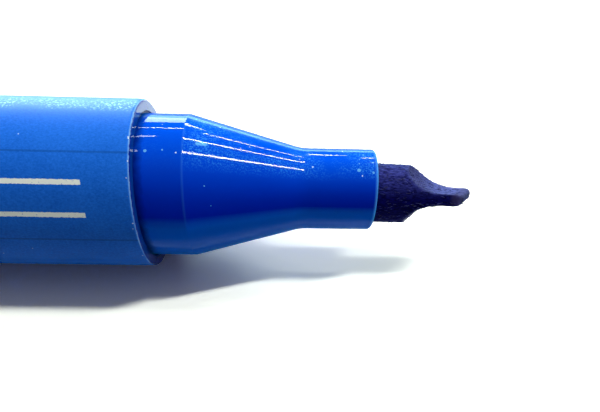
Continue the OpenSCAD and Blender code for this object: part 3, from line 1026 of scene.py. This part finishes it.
section = add(group, "GeometryNodeCurvePrimitiveCircle", {
    "Resolution": 3,
    "Radius": entry["Radius"],
}).outputs[0]
fibre = add(group, "GeometryNodeCurveToMesh", {
    "Curve": arc,
    "Profile Curve": section,
    "Fill Caps": True,
}).outputs[0]
print(group.name, "inputs", sorted(sizes))

# %% [markdown]
# The second half of the tree strews points over the exposed felt and sets a fibre on each, turned
# and sized at random, but mostly along the pen, as the felt's own fibres run.

# %% Fibre ends: scattered
FIBRE_FROM = 20.9 * MM
FIBRE_TO = 29.6 * MM
FIBRE_SIZES = (0.6, 1.3)
# Largest turns in radians: a fibre lies anyhow round the pen, and tips and swings less
FIBRE_TURNS = (3.14, 0.2, 0.5)
FIBRE_SEED = 7
place = add(group, "GeometryNodeInputPosition").outputs[0]
exposed = add(group, "FunctionNodeCompare", {
    0: add(group, "ShaderNodeSeparateXYZ", {"Vector": place}).outputs[0],
    1: (FIBRE_FROM + FIBRE_TO) / 2,
    "Epsilon": (FIBRE_TO - FIBRE_FROM) / 2,
}, operation="EQUAL").outputs[0]
scattered = add(group, "GeometryNodeDistributePointsOnFaces", {
    "Mesh": entry["Geometry"],
    "Selection": exposed,
    "Density": entry["Density"],
    "Seed": FIBRE_SEED,
}).outputs[0]
lay = add(group, "FunctionNodeRandomValue", {
    0: [-turn for turn in FIBRE_TURNS],
    1: FIBRE_TURNS,
    "Seed": FIBRE_SEED,
}, data_type="FLOAT_VECTOR").outputs[0]
size = add(group, "FunctionNodeRandomValue", {
    2: FIBRE_SIZES[0],
    3: FIBRE_SIZES[1],
    "Seed": FIBRE_SEED + 1,
}, data_type="FLOAT").outputs[1]
placed = add(group, "GeometryNodeInstanceOnPoints", {
    "Points": scattered,
    "Instance": fibre,
    "Rotation": lay,
    "Scale": size,
}).outputs[0]
real = add(group, "GeometryNodeRealizeInstances", {"Geometry": placed}).outputs[0]
coloured = add(group, "GeometryNodeSetMaterial", {"Geometry": real, "Material": loose_fibre}).outputs[0]
add(group, "NodeGroupOutput", {"Geometry": coloured})
print(group.name, len(group.nodes), "nodes")

# %% [markdown]
# The tree runs once, on a copy of the nib's mesh, and its result becomes a plain mesh that moves
# with the pen.

# %% Fibre ends: mesh
FIBRE_DENSITY = 5.0 / MM ** 2
FIBRE_LENGTH = 0.55 * MM
# Fibres are about 0.03 mm thick; they are drawn a third thicker, so that they show
FIBRE_RADIUS = 0.02 * MM
fibres = bpy.data.objects.new("felt_fibres", nib.data.copy())
scene.collection.objects.link(fibres)
scatter = fibres.modifiers.new("scatter", "NODES")
scatter.node_group = group
scatter[sizes["Density"]] = FIBRE_DENSITY
scatter[sizes["Length"]] = FIBRE_LENGTH
scatter[sizes["Radius"]] = FIBRE_RADIUS
fibres.data = evaluated_mesh(fibres)
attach(fibres, "pen")
print("loose fibres", len(fibres.data.polygons), "faces")

# %% [markdown]
# Inside the barrel is the ink store, a core of fibres that run lengthwise. None of it shows while
# the pen is whole, but it does when the pieces are taken apart, so it has its own finish: a noise
# that is stretched along the pen, in colour and bump.

# %% Ink store
# Fibres of about 0.03 mm, drawn in bundles of 0.15 mm
BUNDLE_LONG = 4.0
BUNDLE_ACROSS = 0.15
BUNDLE_STRENGTH = 0.5
BUNDLE_DEPTH = 0.05 * MM
fibre_core, tree, shader = new_material(
    "polyester_fibre_bonded_inked",
    Roughness=0.85,
    Specular_IOR_Level=0.2,
)
point = pen_millimetres(tree)[0]
lengthwise = add(tree, "ShaderNodeMapping", {
    "Vector": point,
    "Scale": (1 / BUNDLE_LONG, 1 / BUNDLE_ACROSS, 1 / BUNDLE_ACROSS),
}).outputs[0]
bundles = add(tree, "ShaderNodeTexNoise", {"Vector": lengthwise, "Scale": 1.0, "Detail": 4.0}).outputs[0]
inked = add(tree, "ShaderNodeMix", {
    0: bundles,
    6: linear("060628"),
    7: linear("2C3072"),
}, data_type="RGBA").outputs[2]
nap = add(tree, "ShaderNodeBump", {
    "Height": bundles,
    "Strength": BUNDLE_STRENGTH,
    "Distance": BUNDLE_DEPTH,
}).outputs[0]
tree.links.new(inked, shader.inputs["Base Color"])
tree.links.new(nap, shader.inputs["Normal"])
dress(nodes["reservoir_core"], fibre_core)
print(fibre_core.name, len(tree.nodes), "nodes")

# %% [markdown]
# A clear film wraps the ink store, so it is a transmitting plastic with wrinkles in its gloss. The
# thin air tube and the soft cup in the cap that seals the nib are undyed polyethylene, which is
# milky: light goes a little way into it.

# %% Film, air tube and seal
WRINKLE = 2.5
FILM_ROUGHNESS = (0.03, 0.15)
MILKINESS = 1.5
NATURAL_ROUGHNESS = (0.3, 0.5)
clear_film, tree, shader = new_material(
    "polypropylene_film_clear",
    Base_Color=linear("EAF1F6"),
    IOR=1.49,
    Transmission_Weight=0.9,
)
point = pen_millimetres(tree)[0]
wrinkles = add(tree, "ShaderNodeTexNoise", {"Vector": point, "Scale": 1 / WRINKLE, "Detail": 3.0}).outputs[0]
gloss = add(tree, "ShaderNodeMapRange", {
    "Value": wrinkles,
    "To Min": FILM_ROUGHNESS[0],
    "To Max": FILM_ROUGHNESS[1],
}).outputs[0]
tree.links.new(gloss, shader.inputs["Roughness"])
dress(nodes["reservoir_film"], clear_film)

natural, tree, shader = new_material(
    "polyethylene_natural_moulded",
    IOR=1.51,
    Subsurface_Weight=0.25,
    Subsurface_Radius=(1.0, 1.0, 1.0),
    Subsurface_Scale=0.4 * MM,
)
point = pen_millimetres(tree)[0]
milky = add(tree, "ShaderNodeTexNoise", {"Vector": point, "Scale": 1 / MILKINESS, "Detail": 3.0}).outputs[0]
pale = add(tree, "ShaderNodeMix", {
    0: milky,
    6: linear("CDD3D5"),
    7: linear("E9ECEA"),
}, data_type="RGBA").outputs[2]
dull = add(tree, "ShaderNodeMapRange", {
    "Value": milky,
    "To Min": NATURAL_ROUGHNESS[0],
    "To Max": NATURAL_ROUGHNESS[1],
}).outputs[0]
tree.links.new(pale, shader.inputs["Base Color"])
tree.links.new(dull, shader.inputs["Roughness"])
for name in ("air_tube", "cap_seal_cup"):
    dress(nodes[name], natural)
print("inside:", clear_film.name, natural.name)

# %% [markdown]
# The pen lies on a table, which is one large flat face at the lowest point of the CAD model.

# %% Table
TABLE_Z = cad_box[0][2]
TABLE_HALF = 0.3


def sheet(name, corners):
    """One flat quad for the stage."""
    mesh = bpy.data.meshes.new(name)
    mesh.from_pydata(corners, [], [(0, 1, 2, 3)])
    made = bpy.data.objects.new(name, mesh)
    scene.collection.objects.link(made)
    return made


table = sheet("table", [
    (-TABLE_HALF, -TABLE_HALF, TABLE_Z),
    (TABLE_HALF, -TABLE_HALF, TABLE_Z),
    (TABLE_HALF, TABLE_HALF, TABLE_Z),
    (-TABLE_HALF, TABLE_HALF, TABLE_Z),
])
print("table at", round(TABLE_Z / MM, 2), "mm")

# %% [markdown]
# The table is covered with white paper. In the picture it is brighter than the film can hold, so
# the paper is given a higher white where a camera ray or a reflection looks at it, and its
# natural white where it throws light back at the pen. In the gloss of the pen it is painted a
# little blue, which stands in for the blue light that the plastic throws on the paper beside it.
# The shadow stays, because all of these are colours of a surface that the lamps light.

# %% Paper
PAPER_SEEN = 1.3
PAPER_WHITE = 0.42
# Paper is a felt of fibres and never quite even; its flecks show only in the shadow
FLECK = 0.3 * MM
FLECK_FROM = 0.3
FLECK_TO = 0.7
FLECK_DARK = 0.88
FLECK_LIGHT = 1.12


def ways_of_looking(tree):
    """Masks of what the camera sees straight, and of what it sees in gloss or through film."""
    path = add(tree, "ShaderNodeLightPath").outputs
    mirrored = add(tree, "ShaderNodeMath", {
        0: path["Is Glossy Ray"],
        1: path["Is Transmission Ray"],
    }, operation="MAXIMUM").outputs[0]
    return path["Is Camera Ray"], mirrored


paper = bpy.data.materials.new("paper_white_uncoated")
paper.use_nodes = True
tree = paper.node_tree
tree.nodes.clear()
straight, mirrored = ways_of_looking(tree)
seen = add(tree, "ShaderNodeMath", {0: straight, 1: mirrored}, operation="MAXIMUM").outputs[0]
white = add(tree, "ShaderNodeMapRange", {
    "Value": seen,
    "To Min": PAPER_WHITE,
    "To Max": PAPER_SEEN,
}).outputs[0]
place = add(tree, "ShaderNodeTexCoord").outputs["Object"]
flecks = add(tree, "ShaderNodeTexNoise", {
    "Vector": place,
    "Scale": 1 / FLECK,
    "Detail": 3.0,
    "Roughness": 0.7,
}).outputs[0]
flecks = add(tree, "ShaderNodeMapRange", {
    "Value": flecks,
    "From Min": FLECK_FROM,
    "From Max": FLECK_TO,
    "To Min": FLECK_DARK,
    "To Max": FLECK_LIGHT,
}).outputs[0]
white = add(tree, "ShaderNodeMath", {0: white, 1: flecks}, operation="MULTIPLY").outputs[0]
# Painted blue in reflections, for light thrown from the blue plastic
shade = add(tree, "ShaderNodeMix", {
    0: mirrored,
    6: linear("FFFFFF"),
    7: linear("E2EEFF"),
}, data_type="RGBA").outputs[2]
shade = add(tree, "ShaderNodeVectorMath", {0: shade, "Scale": white}, operation="SCALE").outputs[0]
matt = add(tree, "ShaderNodeBsdfDiffuse", {"Color": shade}).outputs[0]
add(tree, "ShaderNodeOutputMaterial", {"Surface": matt})
dress(table, paper)
print(paper.name, len(tree.nodes), "nodes")

# %% [markdown]
# The light is a plain ceiling of strip lamps in three rows behind the pen, with one more strip
# across their end and a low window further back. The white lines on the gloss are the strips'
# reflections, so following the lines back through the mirror of the cone gave the rows and their
# ends.

# %% Lamps
CEILING = 1.2
LAMP_RADIANCE = 100.0
LAMP_COLOUR = linear("F6FAEC")[:3]
DOWN = Vector((0, 0, -1))
# Each strip: how far behind the pen, from where to where across, in heights of the ceiling, then
# its turn in degrees, its width in metres and its share of the brightness
STRIPS = (
    ("right_near", 0.215, 0.23, 0.8, 12, 0.07, 1.0),
    ("right_middle", 0.74, 0.23, 0.8, 12, 0.07, 1.0),
    ("right_far", 1.45, 0.28, 0.8, 12, 0.09, 0.9),
    ("left_near", 0.19, -0.6, -0.31, 0, 0.07, 0.35),
    ("left_middle", 0.74, -0.6, -0.31, 0, 0.07, 0.5),
    ("left_far", 1.45, -0.6, -0.31, 0, 0.07, 0.8),
    ("end", 2.254, -0.079, 0.451, -77.8, 0.17, 0.55),
)
WINDOW_AZIMUTH = math.radians(-22.0)
WINDOW_ELEVATION = math.radians(10.5)
WINDOW_SIZE = (0.8, 0.5)
WINDOW_RADIANCE = 22.0
WINDOW_FAR = 1.7
DAYLIGHT = linear("DEFBFF")[:3]


def area_lamp(name, place, size, radiance, colour, aim, turn=0.0):
    """A flat lamp that shines towards a direction with an even brightness."""
    data = bpy.data.lights.new(name, "AREA")
    data.shape = "RECTANGLE"
    data.size, data.size_y = size
    data.energy = radiance * math.pi * size[0] * size[1]
    data.color = colour
    made = bpy.data.objects.new(name, data)
    made.location = place
    aimed = aim.to_track_quat("-Z", "Y").to_matrix()
    made.rotation_euler = (Matrix.Rotation(turn, 3, "Z") @ aimed).to_euler()
    made.visible_camera = False
    scene.collection.objects.link(made)


for name, back, start, end, turn, width, share in STRIPS:
    middle = Vector(((start + end) / 2, back, 1)) * CEILING
    size = ((end - start) * CEILING, width)
    area_lamp(f"strip_{name}", middle, size, LAMP_RADIANCE * share, LAMP_COLOUR, DOWN, math.radians(turn))
level = WINDOW_FAR * math.cos(WINDOW_ELEVATION)
window_place = Vector((
    level * math.sin(WINDOW_AZIMUTH),
    level * math.cos(WINDOW_AZIMUTH),
    WINDOW_FAR * math.sin(WINDOW_ELEVATION),
))
area_lamp("window", window_place, WINDOW_SIZE, WINDOW_RADIANCE, DAYLIGHT, -window_place)

# %% [markdown]
# Two cards are seen only in reflections: a dark one behind the camera, and a low white one behind
# the pen, which draws the pale line along the top of the gloss. Product pictures use such cards
# because a gloss shows its surroundings, and a card changes nothing else.

# %% Cards
CARD_HALF = 350 * MM
# Each card: place behind the pen, height over the table, and how much light it sends out
CARDS = (
    ("dark_card", -45 * MM, 87.5 * MM, 0.0),
    ("white_card", 100 * MM, 18 * MM, 10.5),
)
for name, back, top, light in CARDS:
    card = sheet(name, [
        (-CARD_HALF, back, TABLE_Z),
        (CARD_HALF, back, TABLE_Z),
        (CARD_HALF, back, TABLE_Z + top),
        (-CARD_HALF, back, TABLE_Z + top),
    ])
    board = new_material(
        name,
        Base_Color=linear("000000"),
        Roughness=1.0,
        Specular_IOR_Level=0.0,
        Emission_Color=linear("BAFCFF"),
        Emission_Strength=light,
    )[0]
    dress(card, board)
    card.visible_camera = False
    card.visible_diffuse = False
    card.visible_transmission = False
    card.visible_shadow = False
print("cards", [card[0] for card in CARDS])

# %% [markdown]
# Round the table stands a white backdrop. The camera sees it white, reflections see it white
# near the horizon and dark towards the ceiling, and it gives the pen a weak fill, most of it from
# the back, because the room is dim in front of the pen.

# %% World
HORIZON = 0.05
ABOVE = 0.2
CEILING_DARK = 0.03
FILL_FROM = -0.4
FILL_TO = 0.6
FILL_FRONT = 0.07
FILL_BACK = 0.5
world = bpy.data.worlds.new("studio")
world.use_nodes = True
tree = world.node_tree
straight, mirrored = ways_of_looking(tree)
direction = add(tree, "ShaderNodeTexCoord").outputs["Generated"]
axes = add(tree, "ShaderNodeSeparateXYZ", {"Vector": direction}).outputs
backdrop = add(tree, "ShaderNodeMapRange", {
    "Value": axes["Z"],
    "From Min": HORIZON,
    "From Max": ABOVE,
    "To Min": 1.0,
    "To Max": CEILING_DARK,
}).outputs[0]
fill = add(tree, "ShaderNodeMapRange", {
    "Value": axes["Y"],
    "From Min": FILL_FROM,
    "From Max": FILL_TO,
    "To Min": FILL_FRONT,
    "To Max": FILL_BACK,
}).outputs[0]
strength = add(tree, "ShaderNodeMix", {0: mirrored, 2: fill, 3: backdrop}, data_type="FLOAT").outputs[0]
strength = add(tree, "ShaderNodeMix", {0: straight, 2: strength, 3: 1.0}, data_type="FLOAT").outputs[0]
background = tree.nodes["Background"]
background.inputs["Color"].default_value = linear("FFFFFF")
tree.links.new(strength, background.inputs["Strength"])
scene.world = world
scene.view_settings.view_transform = "Standard"
print("fill", FILL_FRONT, "to", FILL_BACK)
